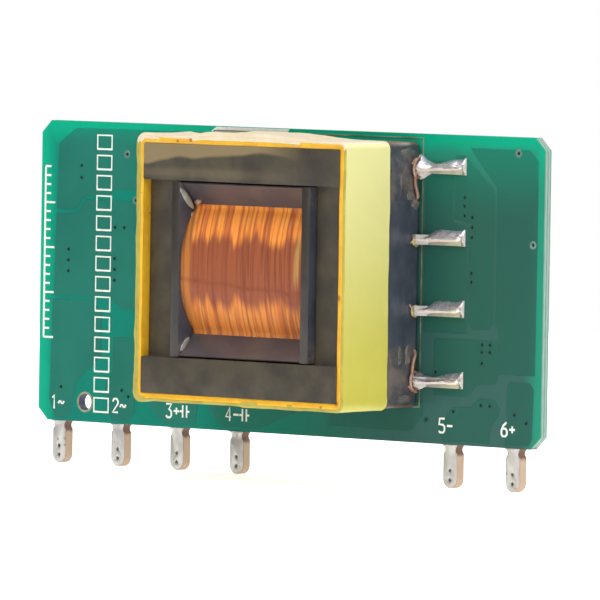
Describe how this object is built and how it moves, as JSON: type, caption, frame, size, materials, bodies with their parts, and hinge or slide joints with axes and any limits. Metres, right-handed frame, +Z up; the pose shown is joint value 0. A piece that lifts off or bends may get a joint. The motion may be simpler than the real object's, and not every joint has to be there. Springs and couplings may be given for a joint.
{
  "type": "open frame power supply",
  "caption": "Open frame mains to low voltage converter board that stands on tinned board terminals, with a yellow taped transformer on its front.",
  "frame": {"origin": "middle of the board's lower seating edge, half way through the board", "axes": "+X along the board from the mains side to the output side, -Y out of the transformer side, +Z up away from the host board"},
  "size_m": [0.0528, 0.0131, 0.0285],
  "materials": {
    "board": "green solder mask over glass epoxy, satin gloss",
    "tin": "hot dipped tin, softly uneven",
    "ferrite": "fired ferrite under clear varnish",
    "bobbin_resin": "moulded black resin with varnish runs",
    "enamelled_copper": "enamelled copper, glossy",
    "amber_tape": "clear amber tape under varnish",
    "yellow_tape": "yellow polyester tape, satin",
    "solder": "bright solder",
    "package_resin": "black moulded epoxy, fine matt",
    "white_resin": "white moulded epoxy",
    "capacitor_ceramic": "tan ceramic with tinned ends",
    "resistor_ceramic": "black glaze with tinned ends"
  },
  "bodies": {
    "root": {"circuit_board": "board", "terminal_ac_neutral": "tin", "terminal_ac_live": "tin", "terminal_reservoir_positive": "tin", "terminal_reservoir_negative": "tin", "terminal_output_negative": "tin", "terminal_output_positive": "tin", "core_left": "ferrite", "core_right": "ferrite", "bobbin": "bobbin_resin", "secondary_winding": "enamelled_copper", "winding_insulation": "yellow_tape", "primary_winding": "enamelled_copper", "coil_tape": "amber_tape", "core_tape": "yellow_tape", "transformer_pin_1": "tin", "transformer_pin_2": "tin", "transformer_pin_3": "tin", "transformer_pin_4": "tin", "transformer_pin_5": "tin", "transformer_pin_6": "tin", "transformer_pin_7": "tin", "transformer_pin_8": "tin", "solder_right": "solder", "solder_left": "solder", "lead_wire_upper": "enamelled_copper", "lead_wire_lower": "enamelled_copper", "bridge_rectifier_body": "package_resin", "bridge_rectifier_leads": "tin", "input_fuse": "white_resin", "controller_body": "package_resin", "controller_leads": "tin", "transistor_body": "package_resin", "transistor_leads": "tin", "clamp_diode_body": "package_resin", "clamp_diode_leads": "tin", "supply_diode_body": "package_resin", "supply_diode_leads": "tin", "output_rectifier_body": "package_resin", "output_rectifier_leads": "tin", "optocoupler_body": "white_resin", "optocoupler_leads": "tin", "shunt_regulator_body": "package_resin", "shunt_regulator_leads": "tin", "snubber_capacitor": "capacitor_ceramic", "supply_capacitor": "capacitor_ceramic", "output_capacitor_upper": "capacitor_ceramic", "output_capacitor_lower": "capacitor_ceramic", "noise_capacitor": "capacitor_ceramic", "loop_capacitor": "capacitor_ceramic", "sense_resistors": "resistor_ceramic", "start_resistors": "resistor_ceramic", "snubber_resistors": "resistor_ceramic", "feedback_resistors": "resistor_ceramic", "load_resistor": "resistor_ceramic"}
  },
  "joints": []
}
